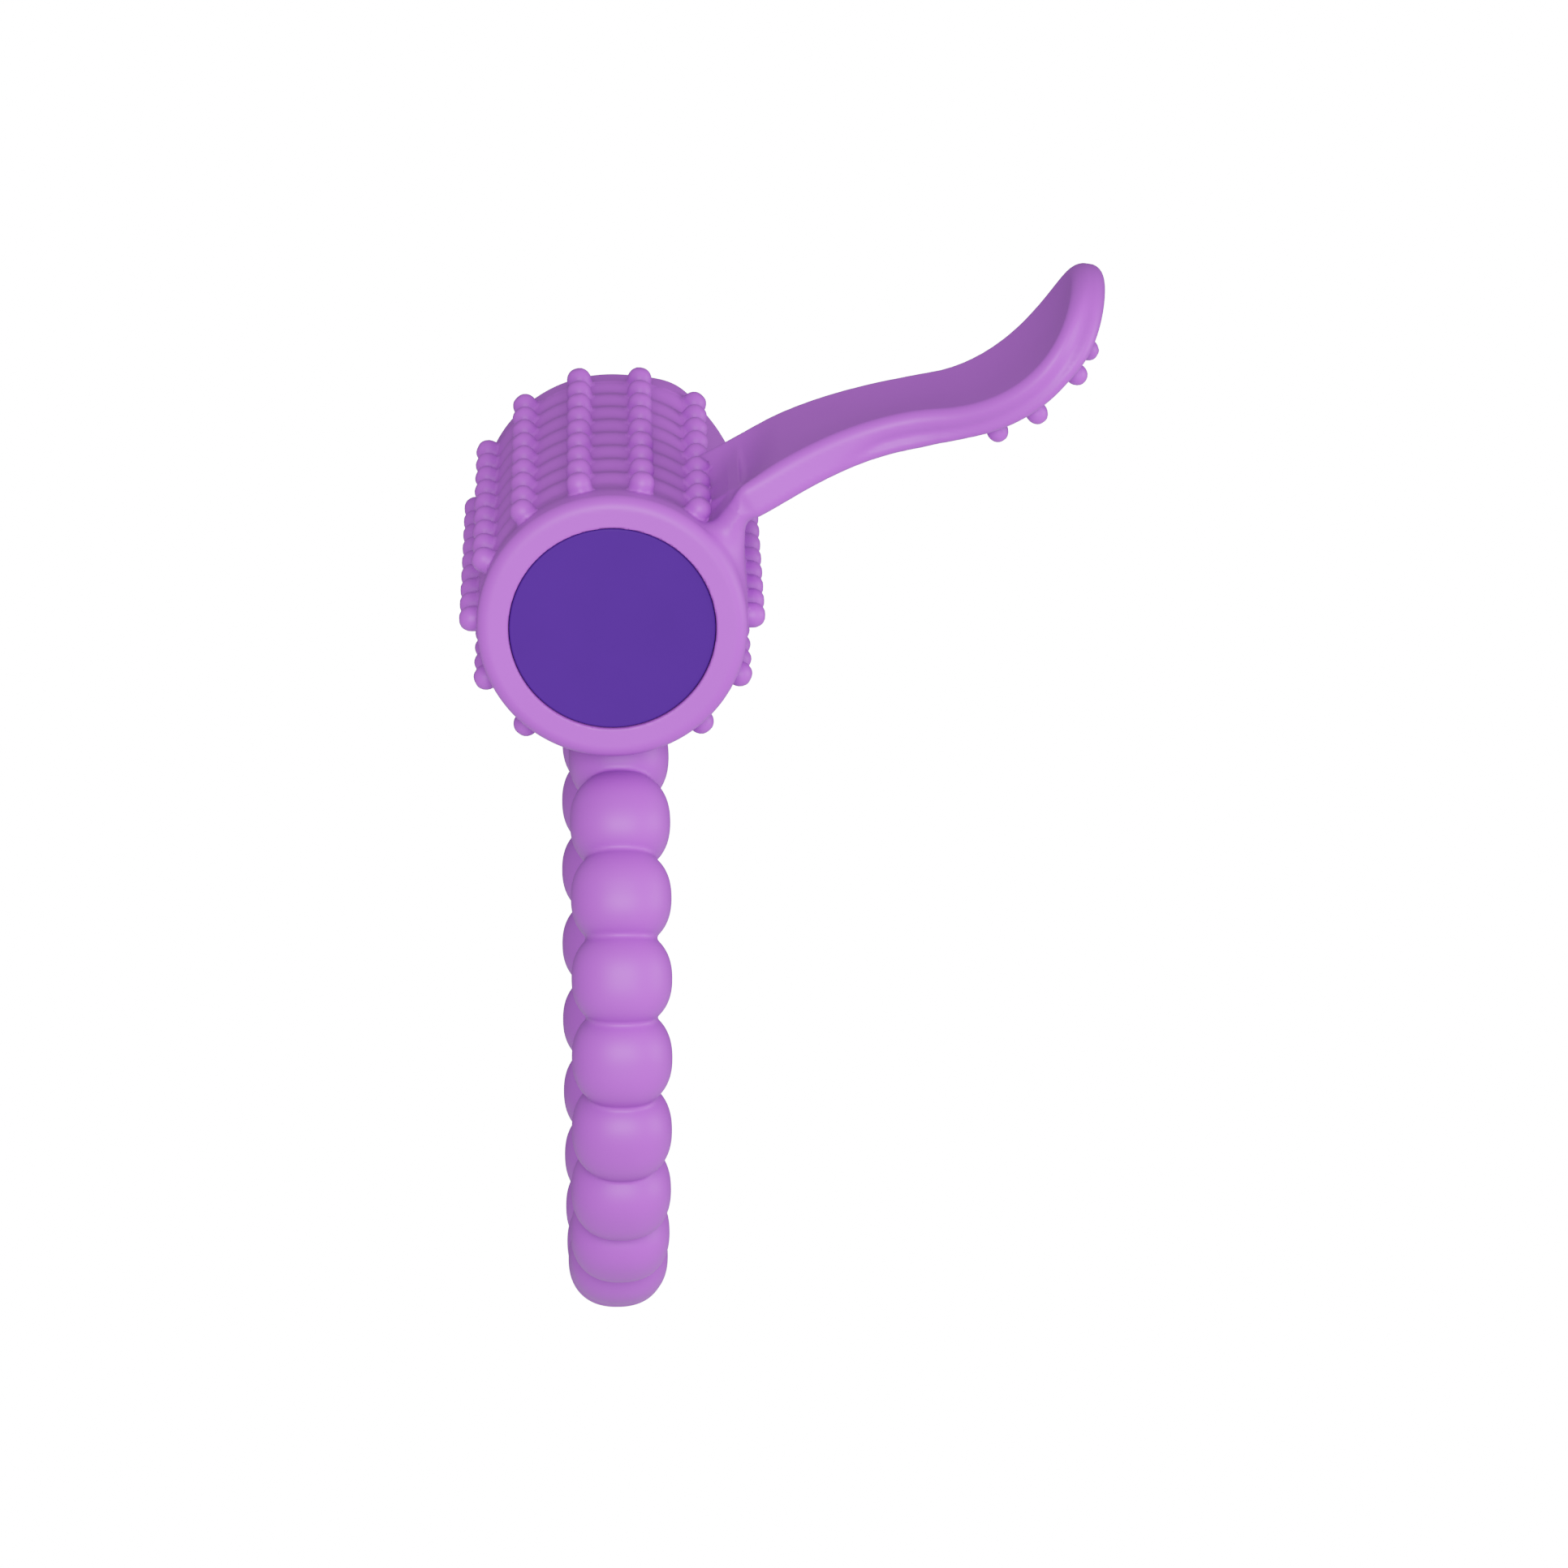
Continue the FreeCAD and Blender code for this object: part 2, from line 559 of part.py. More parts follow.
def conductor_strip():
    """Brass strip beside the cells, from the cap's contact ring to the motor's lead."""
    inner = CELL_RADIUS + RUNNING_CLEARANCE + LINER_THICKNESS
    ring = tube(SHELL_WALL_RADIUS - 0.02, inner, SHELL_STEP, cells_end() + STRIP_OVERRUN)
    window = block(STRIP_WIDTH, SHELL_STEP - 1, cells_end() + 4, STRIP_WIDTH, SHELL_WALL_RADIUS, 0)
    return ring.common(window)


def rear_contact():
    """Brass contact disc behind the cells."""
    return rod(CONTACT_RADIUS, cells_end(), cells_end() + CONTACT_THICKNESS)


def bulkhead():
    """Plastic disc between the cells and the motor, notched for the strip, drilled for a lead."""
    front = cells_end() + CONTACT_THICKNESS
    disc = rod(SHELL_WALL_RADIUS - RUNNING_CLEARANCE, front, front + BULKHEAD_THICKNESS)
    notch_width = STRIP_WIDTH + 0.2
    notch = block(notch_width, front - 1, front + 3, notch_width, SHELL_WALL_RADIUS, 0)
    hole = rod(LEAD_RADIUS + 0.1, front - 1, front + 3, -TERMINAL_X)
    return disc.cut(notch).cut(hole)


def motor_cradle():
    """Rubber sleeve that centres the motor in the shell."""
    return tube(SHELL_WALL_RADIUS, MOTOR_RADIUS, MOTOR_FRONT + CRADLE_MARGIN, MOTOR_BACK - CRADLE_MARGIN)


def motor_can():
    """Steel can of the motor, open at the front, with the bush's hole at the rear."""
    wall_end = MOTOR_BACK - MOTOR_END_WALL
    can = tube(MOTOR_RADIUS, MOTOR_RADIUS - MOTOR_WALL, MOTOR_FRONT, wall_end)
    end = tube(MOTOR_RADIUS, BUSH_RADIUS, wall_end, MOTOR_BACK)
    return can.fuse(end).removeSplitter()


def motor_end_cap():
    """Plastic end cap of the motor with its two terminals and the front bearing."""
    cap = rod(MOTOR_RADIUS - MOTOR_WALL, MOTOR_FRONT, MOTOR_FRONT + END_CAP_THICKNESS)
    front = MOTOR_FRONT - TERMINAL_LENGTH
    terminals = [block(0.8, front, MOTOR_FRONT + 0.2, 1.4, x) for x in (-TERMINAL_X, TERMINAL_X)]
    bearing = rod(SHAFT_RADIUS + RUNNING_CLEARANCE, MOTOR_FRONT + 0.2, MOTOR_FRONT + 2)
    return cap.multiFuse(terminals).cut(bearing)


def motor_brushes():
    """Two spring leaves that rub on the commutator."""
    front = MOTOR_FRONT + END_CAP_THICKNESS
    leaves = [block(0.15, front, front + 1.1, 0.8, side * 1.25) for side in (-1, 1)]
    return Part.makeCompound(leaves)


def motor_magnet():
    """Ring magnet inside the can."""
    return tube(MOTOR_RADIUS - MOTOR_WALL, MAGNET_INNER, MOTOR_FRONT + 2.4, MOTOR_BACK - 0.9)


def shaft_bush():
    """Bronze bush at the rear of the can."""
    return tube(BUSH_RADIUS, SHAFT_RADIUS + RUNNING_CLEARANCE, MOTOR_BACK - 0.5, MOTOR_BACK + 0.3)


def motor_shaft():
    """Steel shaft from the front bearing to the weight."""
    return rod(SHAFT_RADIUS, MOTOR_FRONT + 0.3, WEIGHT_BACK + 0.4)


def commutator():
    """Copper commutator on the shaft."""
    return tube(COMMUTATOR_RADIUS, SHAFT_RADIUS, MOTOR_FRONT + 1.0, MOTOR_FRONT + 2.2)


def armature():
    """Three-pole laminated core with its windings."""
    front = MOTOR_FRONT + 2.8
    back = MOTOR_BACK - 1.4
    poles = []
    for step in range(POLE_COUNT):
        angle = 360 * step / POLE_COUNT
        neck = block(0.9, front, back, 2.0, 0, 1.6)
        shoe = tube(SHOE_RADIUS, SHOE_RADIUS - 0.6, front, back).common(block(3.6, front, back, 2.4, 0, 2.6))
        coil = block(2.0, front - 0.2, back + 0.2, 1.2, 0, 1.55)
        pole = neck.multiFuse([shoe, coil])
        pole.rotate(bullet_point(0, 0, 0), Y_AXIS, angle)
        poles.append(pole)
    hub = rod(COMMUTATOR_RADIUS, front, back)
    return hub.multiFuse(poles).cut(rod(SHAFT_RADIUS, front - 2, back + 2))


def eccentric_weight():
    """Half-round weight that makes the bullet vibrate."""
    half = rod(WEIGHT_RADIUS, WEIGHT_FRONT, WEIGHT_BACK)
    half = half.cut(block(10, WEIGHT_FRONT - 1, WEIGHT_BACK + 1, 10, 0, 5.2))
    hub = rod(BUSH_RADIUS, WEIGHT_FRONT, WEIGHT_BACK)
    return half.fuse(hub).cut(rod(SHAFT_RADIUS, WEIGHT_FRONT - 1, WEIGHT_BACK + 1))


def red_lead():
    """Short lead from the conductor strip to the motor's right terminal."""
    front = cells_end() + STRIP_OVERRUN - 0.4
    return Part.makeCylinder(LEAD_RADIUS, 3.0, bullet_point(2.9, front, 0), FreeCAD.Vector(1, 0, 0))


def black_lead():
    """Short lead from the rear contact, through the bulkhead, to the motor's left terminal."""
    return rod(LEAD_RADIUS, cells_end() + CONTACT_THICKNESS, MOTOR_FRONT - TERMINAL_LENGTH, -TERMINAL_X)


os.makedirs("parts", exist_ok=True)
for make in (
    beaded_ring, sleeve, tongue,
    push_button, button_boot, battery_cap, cap_o_ring, cap_contact_ring,
    switch_board, tact_switch, switch_stem, controller_chip, board_components, battery_spring,
    bullet_shell, battery_liner, conductor_strip, rear_contact, bulkhead,
    motor_cradle, motor_can, motor_end_cap, motor_brushes, motor_magnet, shaft_bush,
    motor_shaft, commutator, armature, eccentric_weight, red_lead, black_lead,
):
    save(make.__name__, make())
for number, name in enumerate(("button_cell_front", "button_cell_rear")):
    save(name, button_cell(number))
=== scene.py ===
"""Looks of the vibrating ring massager: one smooth silicone skin over the sleeve, ring and tongue,
and finished materials for the bullet and everything inside it."""

import math

import bmesh
import bpy
import numpy as np
from mathutils import Matrix, Vector


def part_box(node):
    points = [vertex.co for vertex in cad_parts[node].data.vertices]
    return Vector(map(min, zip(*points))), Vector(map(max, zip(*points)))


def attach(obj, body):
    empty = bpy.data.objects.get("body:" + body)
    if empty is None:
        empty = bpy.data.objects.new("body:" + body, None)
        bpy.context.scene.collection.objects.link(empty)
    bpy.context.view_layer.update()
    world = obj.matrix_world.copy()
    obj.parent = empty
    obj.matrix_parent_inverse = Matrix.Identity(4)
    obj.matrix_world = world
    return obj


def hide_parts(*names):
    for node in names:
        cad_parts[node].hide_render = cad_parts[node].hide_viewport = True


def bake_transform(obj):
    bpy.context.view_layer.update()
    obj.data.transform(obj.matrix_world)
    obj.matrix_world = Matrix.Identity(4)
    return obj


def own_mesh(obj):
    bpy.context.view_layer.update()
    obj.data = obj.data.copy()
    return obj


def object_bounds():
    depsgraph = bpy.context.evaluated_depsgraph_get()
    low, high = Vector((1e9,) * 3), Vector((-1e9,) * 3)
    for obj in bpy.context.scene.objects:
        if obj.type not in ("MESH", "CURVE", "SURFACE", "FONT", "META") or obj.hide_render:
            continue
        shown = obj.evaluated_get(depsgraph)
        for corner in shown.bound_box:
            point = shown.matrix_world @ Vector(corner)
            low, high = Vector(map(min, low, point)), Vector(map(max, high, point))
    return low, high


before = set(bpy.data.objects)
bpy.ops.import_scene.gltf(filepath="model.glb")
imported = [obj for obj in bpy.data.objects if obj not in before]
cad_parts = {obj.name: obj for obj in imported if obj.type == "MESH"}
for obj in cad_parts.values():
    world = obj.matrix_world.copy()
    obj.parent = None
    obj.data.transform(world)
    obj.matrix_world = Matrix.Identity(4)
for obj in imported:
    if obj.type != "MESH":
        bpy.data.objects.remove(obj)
cad_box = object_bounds()
MM = 0.001

# ---- sizes in mm, in the sleeve's frame: x across, s behind the front face, z up from its axis ----

sleeve_low, sleeve_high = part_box("sleeve")
ring_low, ring_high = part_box("beaded_ring")
button_low, button_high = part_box("push_button")
FRONT_Y = sleeve_low.y / MM
LENGTH = (sleeve_high.y - sleeve_low.y) / MM
AXIS_Z = (button_low.z + button_high.z) / 2 / MM
BEAD_RADIUS = ring_high.x / MM
RING_RADIUS = ring_high.y / MM - BEAD_RADIUS
NUB_TIP_RADIUS = -sleeve_low.x / MM

# Barrel. The fades along it are counted in rib pitches from the first nub.
RIM_RADIUS = 10.5
RIM_EDGE = 1.0
RIM_FADE = (-0.45, 0.5)
REAR_RADIUS = 10.5
REAR_EDGE = 1.2
GROOVE_RADIUS = 10.15
CREST_RADIUS = 10.48
PAD_FADE = (4.2, 5.2)
PAD_ANGLE = math.radians(54)
PAD_HALF_ANGLE = math.radians(12)
PAD_EASE = math.radians(5)
REAR_SWELL = 0.45
REAR_SWELL_FADE = (7.0, 8.5)
REAR_SWELL_ANGLE = math.radians(29)
REAR_SWELL_SPREAD = math.radians(13)
BORE_RADIUS = 8.05
BORE_END_EDGE = 0.4
REAR_WALL = 1.8
HOLE_RADIUS = 2.5
LIP_EDGE = 0.15

# Nubs on the sleeve. Rows are counted round it from the top, and the lowest one each side is left out.
NUB_ROWS = 14
TONGUE_ROW = 2
LAST_ROW = NUB_ROWS // 2 - 2
NUBS_PER_ROW = 9
NUB_FIRST = 3.5
NUB_PITCH = 4.025
NUB_RADIUS = 0.99
NUB_EDGE = 0.66
NUB_DOME = 0.25
NUB_FILLET = 0.2
NUB_ROOT_RADIUS = GROOVE_RADIUS - 1

# Ring of beads, and how the soft ring hangs
BEADS = 24
RING_SHIFT = -0.14
RING_YAW = math.radians(1.05)
RING_LEAN = math.radians(0.75)
BEAD_WIDENING = 1.012
BEAD_POWER = 2.3
BEAD_CREASE = 0.45
NECK_FILLET = 1.2

# The tongue follows its top line: a straight root, a drooping arc, then a lifting arc.
TONGUE_CENTRE = 9.95
TONGUE_START = (8.35, 10.05)
ROOT_ANGLE = math.radians(28.0)
STRAIGHT = 5.0
DROOP_RADIUS = 34.4
DROOP_ANGLE = math.radians(22.2)
LIFT_RADIUS = 11.8
LIFT_ANGLE = math.radians(75.1)
DROOP_END = STRAIGHT + DROOP_RADIUS * DROOP_ANGLE
TONGUE_LENGTH = DROOP_END + LIFT_RADIUS * LIFT_ANGLE

# Its outline, seen from above.
ROOT_HALF_WIDTH = 8.4
WAIST_HALF_WIDTH = 6.15
SPOON_HALF_WIDTH = 8.65
WAIST_AT = 15.5
SPOON_AT = 26.8

# Its section: how far the top is hollowed, how thick it is, and how its side leans in from a crease.
# The pairs are places along the top line, where a change starts and ends.
DISH = 0.25
ROOT_DISH = 1.7
ROOT_DISH_END = 5.5
THICKNESS = 2.8
WAIST_EXTRA = 0.3
SPOON_EXTRA = -0.12
SPOON_FADE = (15.5, 20.5)
TIP_EXTRA = 0.26
TIP_FADE = (27.0, 30.0)
EDGE_RADIUS = 0.95
BOTTOM_RADIUS = 0.8
TIP_EDGE_RADIUS = 1.15
SIDE_FADE = (8.0, 14.0)
WAIST_SIDE = 1.85
TIP_SIDE = 1.35
TIP_SIDE_END = 34.0
CREASE_DEPTH = 0.3
CREASE_HALF_WIDTH = 0.55
CREASE_END = (30.0, 33.6)
BODY_INSET = 0.12

# Its root: the blade starts late and round at the front edge, early and sharp further in.
# BLADE_START_EASE holds distances from the front edge.
BLADE_START = (0.3, -2.4)
BLADE_START_RADIUS = (1.9, 0.6)
BLADE_START_EASE = (3.0, 7.0)
ROOT_FILLET = 1.4
ROOT_REGION_X = 3.0
ROOT_REGION_Z = -4.0
ROOT_REGION_HALF_WIDTH = 14.0
WEB_TOP = [(6.4, 6.0), (8.0, 7.7), (9.2, 9.2), (10.0, 9.8)]
WEB_UNDERSIDE = [(10.9, 8.6), (10.4, 7.2), (10.2, 3.2), (9.9, 1.4), (7.5, 1.0)]
WEB = WEB_TOP + WEB_UNDERSIDE
WEB_FRONT_EDGE = 1.3

# Nubs under the spoon: place along the top line and distance from the tongue's middle.
SPOON_NUB_RADIUS = 0.85
SPOON_NUB_HEIGHT = 1.3
SPOON_NUB_EDGE = 0.6
SPOON_NUB_ROOT_DEPTH = 1.0
SPOON_NUB_PLACES = [(29.2, 3.5), (27.85, 5.6), (24.5, 6.0), (21.8, 4.9)]

# Where the skin is cut in three: the ring's cut height, and how far along the tongue's top line its cut
# lies.
RING_CUT = AXIS_Z - 10.85
TONGUE_CUT = 0.2

# Meshing
GRID_STEP = 0.28
BLOCK = 8
BLOCK_REACH = 1.3
BLOCKS_AT_ONCE = 600
SLOPE_STEP = 0.02
NORMAL_STEP = 0.04
LEAST_SLOPE_SQUARED = 0.05
MARGIN_STEPS = 3
RELAX_ROUNDS = 2
RELAX_SHARE = 0.5
CUT_TOLERANCE = 1e-7
TINY = 1e-9

# Materials: linear colours, noise scales per metre, and relief in metres
RAMP_ENDS = (0.3, 0.7)
MOTTLE_SIZE = 8
ROUGHNESS_SWING = 0.06
SILICONE_DARK = (0.307, 0.078, 0.480)
SILICONE_LIGHT = (0.324, 0.084, 0.507)
SILICONE_ROUGHNESS = (0.52, 0.58)
SILICONE_HAZE = 60.0
SILICONE_GRAIN = 2600.0
SILICONE_RELIEF = 4e-6
BULLET_VIOLET = (0.046, 0.013, 0.190)
FLOOR_COLOUR = (0.9, 0.9, 0.9, 1)
FLOOR_ROUGHNESS = 0.9

# Light and camera, with lengths in metres and powers in watts, but the lens in millimetres
COMBINED_CURVE = 3
SHOULDER = 0.5
TONE_STEPS = (0.03, 0.07, 0.12, 0.2, 0.3, 0.45, 0.6, 0.8)
WORLD_LEVEL = 0.36
GLOSSY_SHARE = 0.05
LIGHT_PLACES = {"key_light": (0.01, -0.47, 0.18), "right_light": (0.57, -0.14, 0.10)}
LIGHT_SIZES = {"key_light": 0.22, "right_light": 0.3}
LIGHT_POWERS = {"key_light": 1.04, "right_light": 0.75}
FLOOR_HALF_SIZE = 1.3
FLOOR_Z = -0.6
CAMERA_ELEVATION = math.radians(17.186)
CAMERA_AZIMUTH = math.radians(-1.105)
CAMERA_ROLL = math.radians(-0.458)
CAMERA_DISTANCE = 0.6749
CAMERA_ASIDE = 0.01327
CAMERA_ABOVE = -0.01195
CAMERA_LENS = 200.46
CAMERA_REACH = 50


# ---- distance fields, negative inside ----

def both(a, b, radius):
    """Where two shapes meet, with the outer edge rounded to a radius."""
    u, v = a + radius, b + radius
    outside = np.sqrt(np.maximum(u, 0) ** 2 + np.maximum(v, 0) ** 2)
    return outside + np.minimum(np.maximum(u, v), 0) - radius


def either(a, b, size):
    """Two shapes joined, with the inner corner filled over a distance."""
    share = np.clip(0.5 + 0.5 * (b - a) / size, 0, 1)
    return b + (a - b) * share - size * share * (1 - share)


def ease(start, end, t):
    """Value that eases from start to end as t goes from 0 to 1."""
    return start + (end - start) * (1 - np.cos(np.pi * np.clip(t, 0, 1))) / 2


def progress(fade, place):
    """How far a place lies between a fade's start and end: 0 at the start, 1 at the end."""
    return (place - fade[0]) / (fade[1] - fade[0])


def barrel(r, s, phi):
    """Ribbed barrel with rounded ends, a ribless pad behind the tongue and a swell at its rear."""
    along = (s - NUB_FIRST) / NUB_PITCH
    rib = ease(CREST_RADIUS, GROOVE_RADIUS, 2 * np.abs(along - np.round(along)))
    front_rim = ease(RIM_RADIUS, GROOVE_RADIUS, progress(RIM_FADE, along))
    rib = np.where(along < RIM_FADE[1], front_rim, np.where(along > NUBS_PER_ROW - 1, REAR_RADIUS, rib))
    pad = np.clip((PAD_HALF_ANGLE - np.abs(phi - PAD_ANGLE)) / PAD_EASE, 0, 1)
    rib = rib + (CREST_RADIUS - rib) * pad * np.clip(progress(PAD_FADE, along), 0, 1)
    swell = np.exp(-((phi - REAR_SWELL_ANGLE) / REAR_SWELL_SPREAD) ** 2)
    rib = rib + REAR_SWELL * swell * ease(0, 1, progress(REAR_SWELL_FADE, along))
    edge = np.where(s < LENGTH / 2, RIM_EDGE, REAR_EDGE)
    return both(r - rib, np.abs(s - LENGTH / 2) - LENGTH / 2, edge)


def sleeve_nubs(r, s, phi):
    """Rows of round-ended nubs, one on every rib, left out for the tongue and over the ring."""
    spacing = 2 * math.pi / NUB_ROWS
    row = np.floor(phi / spacing)
    index = np.clip(np.round((s - NUB_FIRST) / NUB_PITCH), 0, NUBS_PER_ROW - 1)
    turn = phi - (row + 0.5) * spacing
    out = r * np.cos(turn) - NUB_TIP_RADIUS
    away = np.hypot(r * np.sin(turn), s - NUB_FIRST - index * NUB_PITCH)
    dome = out + NUB_DOME * (away / NUB_RADIUS) ** 2
    missing = (row == TONGUE_ROW) | (row > LAST_ROW) | (row < -1 - LAST_ROW)
    depth = np.maximum(both(away - NUB_RADIUS, dome, NUB_EDGE), NUB_ROOT_RADIUS - r)
    return np.where(missing, np.maximum(depth, 2 * NUB_RADIUS), depth)


def tongue_place(x, z):
    """Distance along the tongue's top line and height above it, for points in the x, z plane."""
    dx, dz = x - TONGUE_START[0], z - TONGUE_START[1]
    c, n = math.cos(ROOT_ANGLE), math.sin(ROOT_ANGLE)
    s_line, n_line = dx * c + dz * n, dz * c - dx * n
    first_x, first_z = STRAIGHT * c + DROOP_RADIUS * n, STRAIGHT * n - DROOP_RADIUS * c
    vx, vz = dx - first_x, dz - first_z
    s_droop = STRAIGHT + DROOP_RADIUS * (ROOT_ANGLE - np.arctan2(-vx, vz))
    n_droop = np.hypot(vx, vz) - DROOP_RADIUS
    waist_angle = ROOT_ANGLE - DROOP_ANGLE
    reach = DROOP_RADIUS + LIFT_RADIUS
    second_x, second_z = first_x - reach * math.sin(waist_angle), first_z + reach * math.cos(waist_angle)
    wx, wz = dx - second_x, dz - second_z
    s_lift = DROOP_END + LIFT_RADIUS * (np.arctan2(wx, -wz) - waist_angle)
    n_lift = LIFT_RADIUS - np.hypot(wx, wz)
    on_line = s_line < STRAIGHT
    on_droop = s_droop < DROOP_END
    s = np.where(on_line, s_line, np.where(on_droop, s_droop, s_lift))
    n = np.where(on_line, n_line, np.where(on_droop, n_droop, n_lift))
    return s, n


def tongue_point(s, n):
    """Point x, z of the tongue at s along its top line and n above it."""
    angle = ROOT_ANGLE
    x = TONGUE_START[0] + min(s, STRAIGHT) * math.cos(angle)
    z = TONGUE_START[1] + min(s, STRAIGHT) * math.sin(angle)
    droop = min(max(s - STRAIGHT, 0) / DROOP_RADIUS, DROOP_ANGLE)
    x += DROOP_RADIUS * (math.sin(angle) - math.sin(angle - droop))
    z += DROOP_RADIUS * (math.cos(angle - droop) - math.cos(angle))
    angle -= droop
    lift = max(s - DROOP_END, 0) / LIFT_RADIUS
    x += LIFT_RADIUS * (math.sin(angle + lift) - math.sin(angle))
    z += LIFT_RADIUS * (math.cos(angle) - math.cos(angle + lift))
    angle += lift
    return x - n * math.sin(angle), z + n * math.cos(angle)


def tongue_blade(s, n, across):
    """Hollowed top, rounded upper edge, and an underside that leans in from a crease on its side."""
    width = ease(ROOT_HALF_WIDTH, WAIST_HALF_WIDTH, s / WAIST_AT)
    spoon = ease(WAIST_HALF_WIDTH, SPOON_HALF_WIDTH, progress((WAIST_AT, SPOON_AT), s))
    width = np.where(s < WAIST_AT, width, spoon)
    tip = np.maximum(s - SPOON_AT, 0) / (TONGUE_LENGTH - SPOON_AT)
    ratio = np.hypot(tip, across / SPOON_HALF_WIDTH)
    slope = np.hypot(tip / (TONGUE_LENGTH - SPOON_AT), across / SPOON_HALF_WIDTH ** 2)
    round_tip = ratio * (ratio - 1) / np.maximum(slope, 1e-6)
    side = np.where(s < SPOON_AT, np.abs(across) - width, round_tip)
    dish = DISH * (1 - np.clip(across / width, -1, 1) ** 2)
    top = n + dish * (1 + (ROOT_DISH / DISH - 1) * ease(1, 0, s / ROOT_DISH_END))
    split = ease(THICKNESS, WAIST_SIDE, progress(SIDE_FADE, s))
    towards_tip = ease(WAIST_SIDE, TIP_SIDE, progress((SIDE_FADE[1], TIP_SIDE_END), s))
    split = np.where(s < SIDE_FADE[1], split, towards_tip)
    below = (n + split) / CREASE_HALF_WIDTH
    fade = ease(0, 1, progress(SIDE_FADE, s)) * ease(1, 0, progress(CREASE_END, s))
    side = side + fade * (CREASE_DEPTH * np.exp(-below ** 2) + ease(BODY_INSET, 0, below / 2 + 0.5))
    thickness = THICKNESS + ease(WAIST_EXTRA, SPOON_EXTRA, progress(SPOON_FADE, s))
    thickness = thickness + ease(0, TIP_EXTRA, progress(TIP_FADE, s))
    rounding = ease(0, 1, progress(CREASE_END, s))
    edge = EDGE_RADIUS + (TIP_EDGE_RADIUS - EDGE_RADIUS) * rounding
    bottom = BOTTOM_RADIUS + (TIP_EDGE_RADIUS - BOTTOM_RADIUS) * rounding
    blade = both(both(top, side, edge), -n - thickness, bottom)
    inward = ease(0, 1, progress(BLADE_START_EASE, across + ROOT_HALF_WIDTH))
    start = BLADE_START[0] + (BLADE_START[1] - BLADE_START[0]) * inward
    radius = BLADE_START_RADIUS[0] + (BLADE_START_RADIUS[1] - BLADE_START_RADIUS[0]) * inward
    return both(blade, start - s, radius)


def web(x, z, across):
    """Solid web between the barrel and the tongue's root."""
    inside = np.zeros(x.shape, bool)
    nearest = np.full(x.shape, np.inf)
    for (ax, az), (bx, bz) in zip(WEB, WEB[1:] + WEB[:1]):
        ex, ez = bx - ax, bz - az
        px, pz = x - ax, z - az
        t = np.clip((px * ex + pz * ez) / (ex * ex + ez * ez), 0, 1)
        nearest = np.minimum(nearest, np.hypot(px - t * ex, pz - t * ez))
        crosses = (az > z) != (bz > z)
        inside ^= crosses & (px < ex * pz / (ez if ez else TINY))
    flat = np.where(inside, -nearest, nearest)
    return both(flat, np.abs(across) - ROOT_HALF_WIDTH, WEB_FRONT_EDGE)


def spoon_nubs(x, s, z):
    """Two curved rows of nubs under the spoon."""
    found = np.full(x.shape, 2 * THICKNESS)
    for place, spread in SPOON_NUB_PLACES:
        base = tongue_point(place, -SPOON_NUB_ROOT_DEPTH)
        tip = tongue_point(place, -THICKNESS - SPOON_NUB_HEIGHT)
        length = math.hypot(tip[0] - base[0], tip[1] - base[1])
        ex, ez = (tip[0] - base[0]) / length, (tip[1] - base[1]) / length
        out = (x - base[0]) * ex + (z - base[1]) * ez
        flat = (x - base[0] - out * ex) ** 2 + (z - base[1] - out * ez) ** 2
        for side in (-1, 1):
            away = np.sqrt(flat + (s - TONGUE_CENTRE - side * spread) ** 2)
            dome = out - length + NUB_DOME * (away / SPOON_NUB_RADIUS) ** 2
            post = both(away - SPOON_NUB_RADIUS, dome, SPOON_NUB_EDGE)
            found = np.minimum(found, np.maximum(post, -out))
    return found


def beads(x, y, z):
    """Ring of slightly squared beads, turned and leaned a little as the soft ring hangs."""
    x = x - RING_SHIFT
    c, n = math.cos(RING_YAW), math.sin(RING_YAW)
    x, y = x * c + y * n, y * c - x * n
    c, n = math.cos(RING_LEAN), math.sin(RING_LEAN)
    x, z = x * c - z * n, z * c + x * n
    spacing = 2 * math.pi / BEADS
    angle = np.arctan2(y, z)
    radius = np.hypot(y, z)
    wide = x / BEAD_WIDENING
    turn = angle - np.round(angle / spacing) * spacing
    found = []
    for offset in (turn, turn - np.where(turn < 0, -spacing, spacing)):
        out = radius * np.cos(offset) - RING_RADIUS
        across = radius * np.sin(offset)
        total = np.abs(wide) ** BEAD_POWER + np.abs(out) ** BEAD_POWER + np.abs(across) ** BEAD_POWER
        found.append(total ** (1 / BEAD_POWER) - BEAD_RADIUS)
    return either(found[0], found[1], BEAD_CREASE)


def skin(points):
    """Distance field of the whole silicone moulding, for points in the row frame in millimetres."""
    x, y, z = points.T
    s = y - FRONT_Y
    up = z - AXIS_Z
    r = np.hypot(x, up)
    phi = np.arctan2(x, up)
    body = barrel(r, s, phi)
    body = either(body, beads(x, y, z), NECK_FILLET)
    across = s - TONGUE_CENTRE
    near = (x > ROOT_REGION_X) & (up > ROOT_REGION_Z) & (np.abs(across) < ROOT_REGION_HALF_WIDTH)
    if near.any():
        place, height = tongue_place(x[near], up[near])
        blade = tongue_blade(place, height, across[near])
        root = either(blade, web(x[near], up[near], across[near]), ROOT_FILLET / 2)
        joined = either(body[near], root, ROOT_FILLET)
        body[near] = either(joined, spoon_nubs(x[near], s[near], up[near]), NUB_FILLET)
    body = either(body, sleeve_nubs(r, s, phi), NUB_FILLET)
    bore = both(r - BORE_RADIUS, s - LENGTH + REAR_WALL, BORE_END_EDGE)
    body = both(body, -bore, LIP_EDGE)
    hole = np.maximum(r - HOLE_RADIUS, LENGTH / 2 - s)
    return both(body, -hole, LIP_EDGE)


# ---- from distance field to mesh ----

